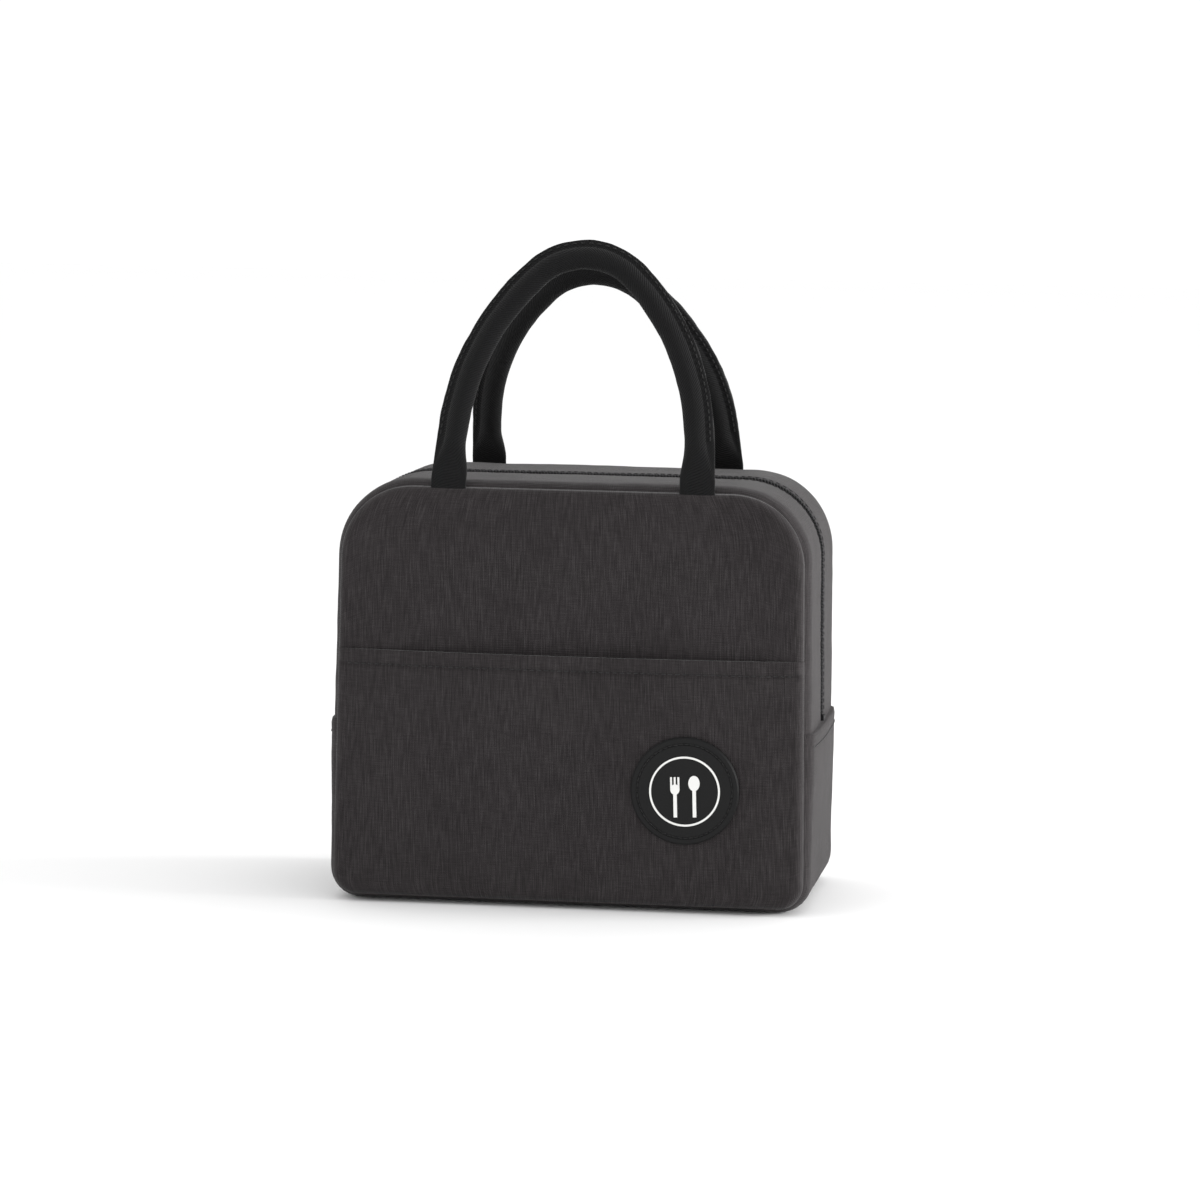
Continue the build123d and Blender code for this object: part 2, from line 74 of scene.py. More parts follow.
# ---------------------------------------------------------------- places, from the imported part
wall_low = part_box("front_panel_lower")[0]
wall_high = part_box("front_panel_upper")[1]
SEAM_LOW = wall_low.z
SEAM_TOP = wall_high.z
FACE_Y = -wall_low.y
WALL_BACK_Y = -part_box("front_panel_lower")[1].y
FOLD_Z = (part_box("pocket_lower")[1].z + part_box("pocket_upper")[0].z) / 2
HEM_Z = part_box("pocket_upper")[1].z
CROWN = SEAM_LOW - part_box("base_gusset")[0].z
LINING_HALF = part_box("base_gusset_lining")[1].y
badge_low, badge_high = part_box("badge")
BADGE_X = (badge_low.x + badge_high.x) / 2
BADGE_Z = (badge_low.z + badge_high.z) / 2
BADGE_R = (badge_high.x - badge_low.x) / 2
swing = {joint["name"]: joint for joint in frame["joints"]}
PIVOT_Y = -swing["front_handle_swing"]["pos_m"][1]
PIVOT_Z = swing["front_handle_swing"]["pos_m"][2]

# ---------------------------------------------------------------- driving sizes of the sewn shape
BASE_HALF = 114.5 * MM          # half width at the base seam
TOP_HALF = 111.5 * MM           # half width at the top seam
TOP_R = 35 * MM                 # corners of the seam outline
BASE_R = 12 * MM
LOOP_STEP = 1 * MM              # between two points of the seam loop
CLOTH_T = 1.0 * MM
PAD_T = 5.0 * MM                # cloth and foam together
LEAST_PAD = 1.2 * MM            # a padded strip where it is pressed flat at a fold or seam
PINNED = 5 * MM                 # width of the edge that the cloth simulation holds
CLOTH_FRAMES = 20
EDGE_ROLL = 4.6 * MM            # how far in from the seam a wall reaches its full thickness
SEAM_TUCK = 2.4 * MM            # how deep the seams are drawn in
SHOULDER = 12 * MM              # rounded edge of the gusset
GUSSET_REACH = WALL_BACK_Y - 0.2 * MM   # from the middle to where the gusset meets a wall
SIDE_REACH = 9 * MM             # the furthest that the gusset's sides stand out from the seam line
GUSSET_ROW = 6 * MM             # from the lower gusset's folded edge down to its stitches
POCKET_GAPE = 5.4 * MM          # how far the hem stands off the wall at its middle
POCKET_SLOPE = 7.0 / 120.0      # the pocket's stand-off for each unit of height, low down
HEM_DEPTH = 7.0 * MM            # from the pocket's edge down to its stitches
ZIP_SLOT = 5.0 * MM             # half the gap between the folded edges of the top strips
ZIP_ROW = 3 * MM                # from a strip's folded edge to its stitches
TAPE_W = 13 * MM
TAPE_T = 0.8 * MM
TAPE_GAP = 0.15 * MM            # from the middle to each tape's edge
TOOTH = (3.7 * MM, 0.86 * MM, 1.5 * MM)   # length across the zip, width and height
TOOTH_PITCH = 1.5 * MM
TOOTH_Y = 1.4 * MM              # from the zip's middle to a tooth's middle
STITCH_PITCH = 3.3 * MM
STITCH_SHARE = 0.68             # part of the pitch that the thread shows on top
THREAD_R = 0.28 * MM
THREAD_SINK = 0.05 * MM
BADGE_ROW_R = 22.8 * MM         # the badge's ring of stitches
BADGE_PITCH = 2.6 * MM
BINDING_TALL = 5 * MM
LINING_T = 0.3 * MM

# handles
HANDLE_SPAN = 120 * MM
HANDLE_RISE = 111 * MM
HANDLE_LEG = 28 * MM            # height of the nearly straight stretch above each end
HANDLE_LEG_IN = 2.7 * MM        # how far that stretch leans in
HANDLE_TURN = 45.0              # degrees turned where the side's arc meets the top's
HANDLE_WIDE = 11 * MM
HANDLE_DEEP = 9 * MM
HANDLE_FIN = 3.4 * MM
HANDLE_FIN_T = 2.4 * MM
HANDLE_END_W = 17 * MM
HANDLE_END_T = 2.4 * MM
HANDLE_FLARE = 20 * MM          # height over which a flat end turns round
HANDLE_TUCK = 10 * MM           # length of the flat ends below the pivot, inside the seam
HANDLE_STEP = 1.8 * MM
LEANS = {"front": 18.6, "rear": 30.0}   # degrees from upright, towards the zip

# camera, fitted to the outline of the bag
CAMERA_TARGET = Vector((0.0057, 0.0, 0.1429))
CAMERA_DISTANCE = 2.4807
CAMERA_AZIMUTH = 7.79
CAMERA_ELEVATION = 6.12
CAMERA_ROLL = 0.92
CAMERA_LENS = 151.7


# ---------------------------------------------------------------- outlines
def side_x(z):
    """Half width between the side seams at height z."""
    return BASE_HALF + (TOP_HALF - BASE_HALF) * (z - SEAM_LOW) / (SEAM_TOP - SEAM_LOW)


def unit(v):
    """The vector at length 1."""
    return v / np.linalg.norm(v)


def rounded(corners, radii, closed, step):
    """Even points along a line with rounded corners, and the line's direction at each, in XZ."""
    corners = [np.array(c, float) for c in corners]
    points, ways = [], []
    last = len(corners) - 1
    for i, here in enumerate(corners):
        if not closed and i in (0, last):
            way = unit(corners[1] - here) if i == 0 else unit(here - corners[-2])
            points.append(here)
            ways.append(way)
            continue
        a = unit(here - corners[i - 1])
        b = unit(corners[(i + 1) % len(corners)] - here)
        turn = math.atan2(a[0] * b[1] - a[1] * b[0], a @ b)
        side = math.copysign(1.0, turn)
        start = here - a * radii[i] * math.tan(abs(turn) / 2)
        centre = start + side * radii[i] * np.array((-a[1], a[0]))
        count = max(3, int(abs(turn) * radii[i] / (0.5 * MM)))
        for k in range(count + 1):
            c, s = math.cos(turn * k / count), math.sin(turn * k / count)
            way = np.array((a[0] * c - a[1] * s, a[0] * s + a[1] * c))
            points.append(centre - side * radii[i] * np.array((-way[1], way[0])))
            ways.append(way)
    if closed:
        points.append(points[0])
        ways.append(ways[0])
    points, ways = np.array(points), np.array(ways)
    along = np.concatenate(([0], np.cumsum(np.linalg.norm(np.diff(points, axis=0), axis=1))))
    keep = np.concatenate(([True], np.diff(along) > 1e-7))
    points, ways, along = points[keep], ways[keep], along[keep]
    count = int(round(along[-1] / step))
    at = np.linspace(0, along[-1], count + 1)
    if closed:
        at = at[:-1]
    even = np.stack([np.interp(at, along, points[:, k]) for k in (0, 1)], axis=1)
    way = np.stack([np.interp(at, along, ways[:, k]) for k in (0, 1)], axis=1)
    return even, way / np.linalg.norm(way, axis=1)[:, None], at


def seam_loop(step=LOOP_STEP):
    """The closed seam line of a wall, anticlockwise seen from the front."""
    corners = [(-BASE_HALF, SEAM_LOW), (BASE_HALF, SEAM_LOW), (TOP_HALF, SEAM_TOP), (-TOP_HALF, SEAM_TOP)]
    return rounded(corners, [BASE_R, BASE_R, TOP_R, TOP_R], True, step)


def upper_path(start_z, step):
    """The seam line from the right side, over the top, to the left side."""
    x = side_x(start_z)
    corners = [(x, start_z), (TOP_HALF, SEAM_TOP), (-TOP_HALF, SEAM_TOP), (-x, start_z)]
    return rounded(corners, [0, TOP_R, TOP_R, 0], False, step)


def lower_path(end_z, step):
    """The seam line from the left side, under the base, to the right side."""
    x = side_x(end_z)
    corners = [(-x, end_z), (-BASE_HALF, SEAM_LOW), (BASE_HALF, SEAM_LOW), (x, end_z)]
    return rounded(corners, [0, BASE_R, BASE_R, 0], False, step)


LOOP, LOOP_WAY, LOOP_AT = seam_loop()


def edge_distance(flat):
    """Distance of XZ points from the seam loop, and how far round the loop the nearest point is."""
    shape = flat.shape[:-1]
    points = flat.reshape(-1, 2)
    a, b = LOOP, np.roll(LOOP, -1, axis=0)
    best = np.full(len(points), 1e9)
    along = np.zeros(len(points))
    for i in range(len(a)):
        step = b[i] - a[i]
        t = np.clip((points - a[i]) @ step / (step @ step), 0, 1)
        gap = np.linalg.norm(points - a[i] - t[:, None] * step, axis=1)
        closer = gap < best
        best[closer] = gap[closer]
        along[closer] = LOOP_AT[i] + t[closer] * LOOP_STEP
    return best.reshape(shape), along.reshape(shape)


def eased(count, ends=0.3):
    """Fractions from 0 to 1, closer together near both ends."""
    t = np.linspace(0, 1, count)
    return t - (1 - ends) * np.sin(2 * np.pi * t) / (2 * np.pi)


def along_curve(curve, fractions):
    """Points at fractions of a polyline's length."""
    steps = np.linalg.norm(np.diff(curve, axis=0), axis=1)
    at = np.concatenate(([0], np.cumsum(steps))) / steps.sum()
    return np.stack([np.interp(fractions, at, curve[:, k]) for k in range(curve.shape[1])], axis=1)


def coons(bottom, right, top, left, u, v):
    """A grid of points inside four border curves; bottom and top run left to right, the others upwards."""
    b, t = along_curve(bottom, u)[None], along_curve(top, u)[None]
    l, r = along_curve(left, v)[:, None], along_curve(right, v)[:, None]
    s, w = u[None, :, None], v[:, None, None]
    corners = (
        (1 - s) * (1 - w) * bottom[0] + s * (1 - w) * bottom[-1] + (1 - s) * w * top[0] + s * w * top[-1]
    )
    return (1 - w) * b + w * t + (1 - s) * l + s * r - corners


def panel_grid(columns, rows, top_z=None, inset=0.0):
    """A grid over a wall's outline, or over its part below top_z, in XZ."""
    outward = np.stack((LOOP_WAY[:, 1], -LOOP_WAY[:, 0]), axis=1)
    loop = LOOP - outward * inset
    marks = [int(np.argmax(loop @ np.array(way))) for way in ((-1, -1), (1, -1), (1, 1), (-1, 1))]

    def stretch(first, last):
        last += len(loop) * (last < first)
        return loop[np.arange(first, last + 1) % len(loop)]

    sides = [stretch(marks[i], marks[(i + 1) % 4]) for i in range(4)]
    bottom, right, top, left = sides[0], sides[1], sides[2][::-1], sides[3][::-1]
    if top_z is not None:
        full = np.concatenate((right, top[::-1][1:]))
        cut = int(np.argmax(full[:, 1] >= top_z))
        x = np.interp(top_z, full[: cut + 1, 1], full[: cut + 1, 0])
        right = np.vstack((full[:cut], (x, top_z)))
        left = right * (-1, 1)
        top = np.array(((-x, top_z), (x, top_z)))
    return coons(bottom, right, top, left, eased(columns), eased(rows))


# ---------------------------------------------------------------- meshes
def new_object(name, verts, faces, uvs=None):
    """A mesh object from vertices, faces and one UV for each corner, its normals facing out."""
    mesh = bpy.data.meshes.new(name)
    mesh.from_pydata([tuple(v) for v in verts], [], [tuple(f) for f in faces])
    if uvs is not None:
        layer = mesh.uv_layers.new(name="weave")
        layer.data.foreach_set("uv", np.asarray(uvs, np.float32).ravel())
    work = bmesh.new()
    work.from_mesh(mesh)
    bmesh.ops.recalc_face_normals(work, faces=work.faces)
    work.to_mesh(mesh)
    work.free()
    mesh.polygons.foreach_set("use_smooth", [True] * len(mesh.polygons))
    mesh.update()
    piece = bpy.data.objects.new(name, mesh)
    bpy.context.scene.collection.objects.link(piece)
    return piece


def quads(rows, columns, offset=0, flip=False):
    """Faces of a grid whose vertices run row by row."""
    r, c = np.meshgrid(np.arange(rows - 1), np.arange(columns - 1), indexing="ij")
    a = offset + r * columns + c
    faces = np.stack((a, a + 1, a + columns + 1, a + columns), axis=-1).reshape(-1, 4)
    return faces[:, ::-1] if flip else faces


def slab(name, outer, inner, uv):
    """A closed sheet or pad between two grids of points, with one UV for each grid point."""
    rows, columns = outer.shape[:2]
    count = rows * columns
    border = np.concatenate(
        (
            np.arange(columns),
            np.arange(1, rows) * columns + columns - 1,
            (rows - 1) * columns + np.arange(columns - 2, -1, -1),
            np.arange(rows - 2, 0, -1) * columns,
        )
    )
    after = np.roll(border, -1)
    rim = np.stack((after, border, border + count, after + count), axis=-1)
    faces = np.concatenate((quads(rows, columns), quads(rows, columns, count, True), rim))
    verts = np.concatenate((outer.reshape(-1, 3), inner.reshape(-1, 3)))
    flat_uv = np.concatenate((uv.reshape(-1, 2), uv.reshape(-1, 2)))
    return new_object(name, verts, faces, flat_uv[faces.ravel()])


def grid_lengths(points):
    """Lengths in metres along a grid's columns and rows, as one UV for each point."""
    across = np.linalg.norm(np.diff(points, axis=1), axis=2).mean(axis=0)
    up = np.linalg.norm(np.diff(points, axis=0), axis=2).mean(axis=1)
    u = np.concatenate(([0], np.cumsum(across)))
    v = np.concatenate(([0], np.cumsum(up)))
    return np.stack(np.meshgrid(u, v), axis=-1)


def tube(name, rings, closed=False):
    """A tube through rings of points. It is closed on itself, or has flat ends."""
    rows, columns = rings.shape[:2]
    looped = np.concatenate((rings, rings[:, :1]), axis=1)
    if closed:
        looped = np.concatenate((looped, looped[:1]), axis=0)
    uv = grid_lengths(looped)
    index = np.arange(looped.shape[0])[:, None] % rows * columns + np.arange(columns + 1)[None] % columns
    plain = quads(looped.shape[0], columns + 1)
    faces = [tuple(f) for f in index.ravel()[plain]]
    uvs = list(uv.reshape(-1, 2)[plain.ravel()])
    if not closed:
        for end in (range(columns - 1, -1, -1), range((rows - 1) * columns, rows * columns)):
            faces.append(tuple(end))
            uvs += [uv[0, 0]] * columns
    return new_object(name, rings.reshape(-1, 3), faces, uvs)


def capsule(length, width, height, sides=6):
    """Vertices and faces of a bead with rounded ends, its length along local X."""
    rings = ((-0.5, 0.0), (-0.42, 0.7), (-0.25, 1.0), (0.25, 1.0), (0.42, 0.7), (0.5, 0.0))
    verts = []
    for at, fat in rings:
        for k in range(sides):
            angle = 2 * math.pi * k / sides
            y, z = math.cos(angle) * width / 2, math.sin(angle) * height / 2
            verts.append((at * length, y * max(fat, 0.25), z * max(fat, 0.25)))
    faces = []
    for r in range(len(rings) - 1):
        for k in range(sides):
            n = (k + 1) % sides
            faces.append((r * sides + k, r * sides + n, (r + 1) * sides + n, (r + 1) * sides + k))
    faces.append(tuple(range(sides))[::-1])
    faces.append(tuple(range((len(rings) - 1) * sides, len(rings) * sides)))
    return np.array(verts), faces


def beads(name, places, bead):
    """Copies of one bead, each at an origin with its length and its height along two directions."""
    base, shape = bead
    verts, faces = [], []
    for k, (origin, way, up) in enumerate(places):
        way = unit(np.array(way, float))
        side = unit(np.cross(up, way))
        turned = base @ np.array((way, side, np.cross(way, side)))
        verts.append(turned + np.array(origin))
        faces += [tuple(k * len(base) + i for i in face) for face in shape]
    return new_object(name, np.concatenate(verts), faces)


# ---------------------------------------------------------------- cloth
def wave(points, scale, seed):
    """Smooth noise from -1 to 1 at each point; scale is the size of its bumps."""
    flat = points.reshape(-1, points.shape[-1])
    values = [noise.noise(Vector((p[0] / scale + seed, p[1] / scale, seed * 0.37))) for p in flat]
    return np.array(values).reshape(points.shape[:-1])


def relief(points, *layers):
    """Layers of noise added up, each a height, the size of its bumps and a seed."""
    return sum(height * wave(points, scale, seed) for height, scale, seed in layers)


def bell(x, width):
    """1 at x = 0, dying away on both sides."""
    return np.exp(-((x / width) ** 2))


def fade(x, length):
    """1 at x = 0, dying away as x grows."""
    return np.exp(-x / length)


def beside_seam(x, reach=8 * MM):
    """0 on a seam, highest just beside it, then dying away over reach."""
    return fade(x, reach) * (1 - fade(x, 1.5 * MM))


def swelled(points, held, pressure, cap, slack=0.0):
    """The grid after a cloth simulation under slight pressure between its held points. cap is the furthest
    that a point may move."""
    rows, columns = points.shape[:2]
    skin = new_object("cloth_work", points.reshape(-1, 3), quads(rows, columns))
    group = skin.vertex_groups.new(name="held")
    for i in np.flatnonzero(held.ravel() > 0):
        group.add([int(i)], float(held.ravel()[i]), "REPLACE")
    cloth = skin.modifiers.new("Cloth", "CLOTH")
    cloth.settings.quality = 5
    cloth.settings.mass = 0.2
    cloth.settings.tension_stiffness = 12
    cloth.settings.compression_stiffness = 12
    cloth.settings.bending_stiffness = 1.5
    cloth.settings.use_pressure = True
    cloth.settings.uniform_pressure_force = pressure
    cloth.settings.shrink_min = -slack
    cloth.settings.effector_weights.gravity = 0
    cloth.settings.vertex_group_mass = "held"
    cloth.point_cache.frame_start, cloth.point_cache.frame_end = 1, CLOTH_FRAMES
    scene = bpy.context.scene
    for number in range(1, CLOTH_FRAMES + 1):
        scene.frame_set(number)
    made = skin.evaluated_get(bpy.context.evaluated_depsgraph_get()).to_mesh()
    moved = np.zeros(rows * columns * 3, np.float32)
    made.vertices.foreach_get("co", moved)
    delta = moved.reshape(points.shape).astype(float) - points
    bpy.data.objects.remove(skin)
    scene.frame_set(1)
    size = np.linalg.norm(delta, axis=2, keepdims=True)
    return points + delta / np.maximum(size, 1e-9) * cap * np.tanh(size / cap)


# ---------------------------------------------------------------- materials
SPECKLE_TURN = 0.62     # radians; keeps the noise's own rows from lining up with the weave


def shader(name, colour, rough, metallic=0.0, sheen=0.0, specular=0.5):
    """A material with plain values, and its node tree to build on."""
    made = bpy.data.materials.new(name)
    made.use_nodes = True
    surface = made.node_tree.nodes["Principled BSDF"]
    surface.inputs["Base Color"].default_value = (*colour, 1)
    surface.inputs["Roughness"].default_value = rough
    surface.inputs["Metallic"].default_value = metallic
    surface.inputs["Sheen Weight"].default_value = sheen
    surface.inputs["Sheen Roughness"].default_value = 0.4
    surface.inputs["Specular IOR Level"].default_value = specular
    return made, made.node_tree.nodes, made.node_tree.links, surface


def coordinate(nodes, links, source, scale, turn=0.0):
    """Texture coordinates in metres, multiplied by scale on each axis, then turned."""
    place = nodes.new("ShaderNodeTexCoord")
    mapping = nodes.new("ShaderNodeMapping")
    mapping.inputs["Scale"].default_value = scale
    mapping.inputs["Rotation"].default_value = (0, 0, turn)
    links.new(place.outputs[source], mapping.inputs["Vector"])
    return mapping.outputs["Vector"]


def speckle(nodes, links, source, scale, detail=2.0):
    """Noise from 0 to 1."""
    texture = nodes.new("ShaderNodeTexNoise")
    texture.inputs["Scale"].default_value = 1.0
    texture.inputs["Detail"].default_value = detail
    links.new(coordinate(nodes, links, source, scale, SPECKLE_TURN), texture.inputs["Vector"])
    return texture.outputs["Fac"]


def combine(nodes, links, how, a, b):
    """One arithmetic step on two values."""
    step = nodes.new("ShaderNodeMath")
    step.operation = how
    for socket, value in zip(step.inputs, (a, b)):
        if isinstance(value, float):
            socket.default_value = value
        else:
            links.new(value, socket)
    return step.outputs[0]


def ramped(nodes, links, value, stops):
    """A colour for each value; stops are (place, colour)."""
    ramp = nodes.new("ShaderNodeValToRGB")
    ends = ramp.color_ramp.elements
    ends[0].position, ends[-1].position = stops[0][0], stops[-1][0]
    for place, _ in stops[1:-1]:
        ramp.color_ramp.elements.new(place)
    for element, (_, colour) in zip(ramp.color_ramp.elements, stops):
        element.color = (*colour, 1)
    links.new(value, ramp.inputs["Fac"])
    return ramp.outputs["Color"]


def bumped(nodes, links, surface, height, depth):
    """Bump of a height from 0 to 1 that stands for a depth in metres."""
    bump = nodes.new("ShaderNodeBump")
    bump.inputs["Strength"].default_value = 1.0
    bump.inputs["Distance"].default_value = depth
    links.new(height, bump.inputs["Height"])
    links.new(bump.outputs["Normal"], surface.inputs["Normal"])


def threads(nodes, links, half_pitch):
    """A plain weave's height: warp and weft ridges that cross, each row two half pitches from the next."""
    height = None
    for axis in "XY":
        ridges = nodes.new("ShaderNodeTexWave")
        ridges.bands_direction = axis
        ridges.inputs["Scale"].default_value = 1 / half_pitch / 3.1416 * 0.5
        ridges.inputs["Distortion"].default_value = 0.6
        ridges.inputs["Detail"].default_value = 1.0
        links.new(coordinate(nodes, links, "UV", (1, 1, 1)), ridges.inputs["Vector"])
        row = ridges.outputs["Fac"]
        height = row if height is None else combine(nodes, links, "MULTIPLY", height, row)
    return height


def oxford():
    """Charcoal melange polyester: a fine weave with darker and lighter slubs that run along the warp."""
    grey = (0.04, 0.036, 0.037)
    made, nodes, links, surface = shader("charcoal_oxford", grey, 0.85, sheen=0.12, specular=0.15)
    warp = speckle(nodes, links, "UV", (2400, 85, 1), 3.0)
    weft = speckle(nodes, links, "UV", (110, 2300, 1), 3.0)
    cloud = speckle(nodes, links, "UV", (28, 14, 1), 3.0)
    mixed = combine(nodes, links, "MULTIPLY", warp, 0.66)
    mixed = combine(nodes, links, "ADD", mixed, combine(nodes, links, "MULTIPLY", weft, 0.24))
    mixed = combine(nodes, links, "ADD", mixed, combine(nodes, links, "MULTIPLY", cloud, 0.1))
    dark, middle, light = (0.0145, 0.0125, 0.013), (0.0255, 0.0222, 0.023), (0.048, 0.0435, 0.0445)
    colour = ramped(nodes, links, mixed, [(0.36, dark), (0.5, middle), (0.66, light)])
    links.new(colour, surface.inputs["Base Color"])
    slubs = combine(nodes, links, "MULTIPLY", warp, 0.8)
    weave = combine(nodes, links, "ADD", threads(nodes, links, 0.55 * MM), slubs)
    bumped(nodes, links, surface, weave, 0.00016)
    return made


def webbing():
    """Black cotton webbing: a coarse twill, with painted shade in its grooves."""
    black = (0.006, 0.006, 0.006)
    made, nodes, links, surface = shader("black_webbing", black, 0.85, sheen=0.08, specular=0.12)
    twill = nodes.new("ShaderNodeTexWave")
    twill.bands_direction = "DIAGONAL"
    twill.inputs["Scale"].default_value = 1.0
    twill.inputs["Distortion"].default_value = 1.2
    twill.inputs["Detail"].default_value = 2.0
    links.new(coordinate(nodes, links, "UV", (430, 430, 430)), twill.inputs["Vector"])
    fuzz = speckle(nodes, links, "UV", (1500, 1500, 1), 3.0)
    fuzz = combine(nodes, links, "MULTIPLY", fuzz, 0.8)
    height = combine(nodes, links, "ADD", twill.outputs["Fac"], fuzz)
    # Painted shade: the colour follows the twill's height, darker in its grooves and lighter on its ridges; the
    # fuzz varies the tone at random.
    deep, ridge_tone = (0.0025, 0.0025, 0.0025), (0.0095, 0.0095, 0.0098)
    colour = ramped(nodes, links, height, [(0.2, deep), (0.75, ridge_tone)])
    links.new(colour, surface.inputs["Base Color"])
    bumped(nodes, links, surface, height, 0.00022)
    return made


def plain_cloth(name, colour, half_pitch):
    """A fine woven tape in one colour."""
    made, nodes, links, surface = shader(name, colour, 0.85, sheen=0.15, specular=0.2)
    bumped(nodes, links, surface, threads(nodes, links, half_pitch), 0.00012)
    return made


def foil():
    """Aluminium-faced film, creased all over."""
    made, nodes, links, surface = shader("foil_film", (0.78, 0.79, 0.8), 0.28, metallic=0.9)
    crease = nodes.new("ShaderNodeTexVoronoi")
    crease.feature = "DISTANCE_TO_EDGE"
    crease.inputs["Scale"].default_value = 1.0
    links.new(coordinate(nodes, links, "Object", (75, 75, 75)), crease.inputs["Vector"])
    fine = speckle(nodes, links, "Object", (160, 160, 160), 4.0)
    height = combine(nodes, links, "ADD", crease.outputs["Distance"], fine)
    bumped(nodes, links, surface, height, 0.0009)
    return made


def grained(name, colour, rough, metallic=0.0, grain=600, depth=0.00004, specular=0.5):
    """A hard or rubbery surface with a fine grain."""
    made, nodes, links, surface = shader(name, colour, rough, metallic=metallic, specular=specular)
    bumped(nodes, links, surface, speckle(nodes, links, "Object", (grain, grain, grain)), depth)
    return made


LOOKS = {
    "oxford_cloth": oxford(),
    "webbing": webbing(),
    "binding": plain_cloth("black_binding", (0.016, 0.016, 0.017), 0.8 * MM),
    "zip_tape": plain_cloth("black_tape", (0.012, 0.012, 0.0125), 0.7 * MM),
    "foil_lining": foil(),
    "zip_coil": grained("nylon_coil", (0.014, 0.014, 0.015), 0.66, specular=0.15),
    "zip_metal": grained("black_enamel", (0.02, 0.02, 0.021), 0.3, metallic=0.5, grain=300, depth=0.00002),
    "badge_rubber": grained("badge_rubber", (0.0045, 0.0045, 0.0047), 0.55, grain=900, specular=0.22),
    "white_print": grained("white_rubber", (0.8, 0.8, 0.78), 0.5, grain=900, depth=0.00002),
}
THREAD = plain_cloth("thread", (0.03, 0.029, 0.03), 0.3 * MM)
DARK_THREAD = plain_cloth("black_thread", (0.02, 0.02, 0.02), 0.3 * MM)


def dress(piece, slot, look=None):
    """Gives a piece its material: the one for its slot, or the look given."""
    piece.data.materials.clear()
    piece.data.materials.append(look or LOOKS[slot])
    return piece


def goes_with(piece):
    """A piece of the front or the rear, its placing baked into its mesh."""
    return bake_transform(piece)


def surface_of(piece):
    """A search tree over a piece's faces."""
    mesh = piece.data
    return BVHTree.FromPolygons([v.co for v in mesh.vertices], [p.vertices for p in mesh.polygons])


# ---------------------------------------------------------------- walls
def world(flat, y):
    """XZ points and their Y as points in the part's frame."""
    return np.stack((flat[..., 0], np.broadcast_to(y, flat.shape[:-1]), flat[..., 1]), axis=-1)


def rolled(depth):
    """From 0 at the seam to 1 where a wall has its full thickness, along a quarter of an ellipse."""
    t = np.clip(depth / EDGE_ROLL, 0, 1)
    return np.sqrt(np.clip(1 - (1 - t) ** 2.2, 0, 1))


def smooth(x, low, high):
    """From 0 at low to 1 at high, with no corner at either."""
    t = np.clip((x - low) / (high - low), 0, 1)
    return t * t * (3 - 2 * t)


def puckers(depth, along, seed):
    """Small gathers beside a seam, which die away into the cloth."""
    return wave(np.stack((along, depth * 0.35), axis=-1), 9 * MM, seed) * beside_seam(depth, 9 * MM)


def wall_skin(sign, seed):
    """The outer face of the front (-1) or rear (+1) wall as a grid, its XZ places and its seam distance."""
    flat = panel_grid(84, 76)
    depth, along = edge_distance(flat)
    z = flat[..., 1]
    seam_y = WALL_BACK_Y + 0.3 * MM
    y = seam_y + (FACE_Y - seam_y) * rolled(depth)
    skin = swelled(world(flat, sign * y), (depth < PINNED).astype(float), 0.35, 1.6 * MM)
    free = smooth(depth, 4 * MM, 30 * MM)
    lift = relief(flat, (0.9 * MM, 75 * MM, seed), (0.3 * MM, 22 * MM, seed + 3)) * free
    lift += 0.45 * MM * puckers(depth, along, seed)
    lift -= 0.5 * MM * smooth(depth, 20 * MM, 90 * MM)
    if sign < 0:        # the front lies flat behind its pocket
        lift = lift * (0.1 + 0.9 * smooth(z, HEM_Z - 22 * MM, HEM_Z + 4 * MM))
        skin[..., 1] = np.maximum(skin[..., 1], -FACE_Y - 1.6 * MM)
        buried = smooth(z, HEM_Z - 2 * MM, HEM_Z - 30 * MM)
        skin[..., 1] = skin[..., 1] * (1 - buried) + sign * y * buried
    skin[..., 1] += sign * lift
    return skin, flat, depth


def wall(end, sign, seed):
    """One padded wall: cloth over foam, drawn in at its seam."""
    skin, flat, depth = wall_skin(sign, seed)
    middle = np.array((0.0, (SEAM_LOW + SEAM_TOP) / 2))
    inward = (flat - middle) / np.linalg.norm(flat - middle, axis=-1, keepdims=True).clip(1e-6)
    tucked = flat - inward * (SEAM_TUCK * fade(depth, 4 * MM))[..., None]
    back = world(tucked, sign * WALL_BACK_Y)
    piece = slab(f"{end}_wall", skin, back, grid_lengths(skin))
    dress(piece, "oxford_cloth")
    names = [f"{end}_{layer}_{part}" for layer in ("panel", "foam") for part in ("lower", "upper")]
    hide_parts(*names)
    tree = surface_of(piece)
    goes_with(piece)
    return tree


# ---------------------------------------------------------------- gusset
def band(path, section):
    """A grid of points: a section of (outwards, Y) pairs at each point of a seam path."""
    points, ways, _ = path
    outward = np.stack((ways[:, 1], -ways[:, 0]), axis=1)
    section = np.broadcast_to(section, (len(points), *section.shape[-2:]))
    x = points[:, None, 0] + outward[:, None, 0] * section[..., 0]
    z = points[:, None, 1] + outward[:, None, 1] * section[..., 0]
    return np.stack((x, section[..., 1], z), axis=-1)


def gusset_height(y):
    """How far the gusset's outer face stands out from the seam line at a distance from the middle."""
    edge = np.clip((GUSSET_REACH - np.abs(y)) / SHOULDER, 0, 1)
    return -SEAM_TUCK + (CROWN + SEAM_TUCK) * (1 - (1 - edge) ** 3.2)


def band_section(y):
    """A gusset section with its outer line at y."""
    return np.stack((gusset_height(y), y), axis=-1)


def spots(path, y):
    """Places on a gusset piece laid flat, for its noise: length along the seam path, and Y."""
    return np.stack(np.broadcast_arrays(path[2][:, None], y[None]), axis=-1)


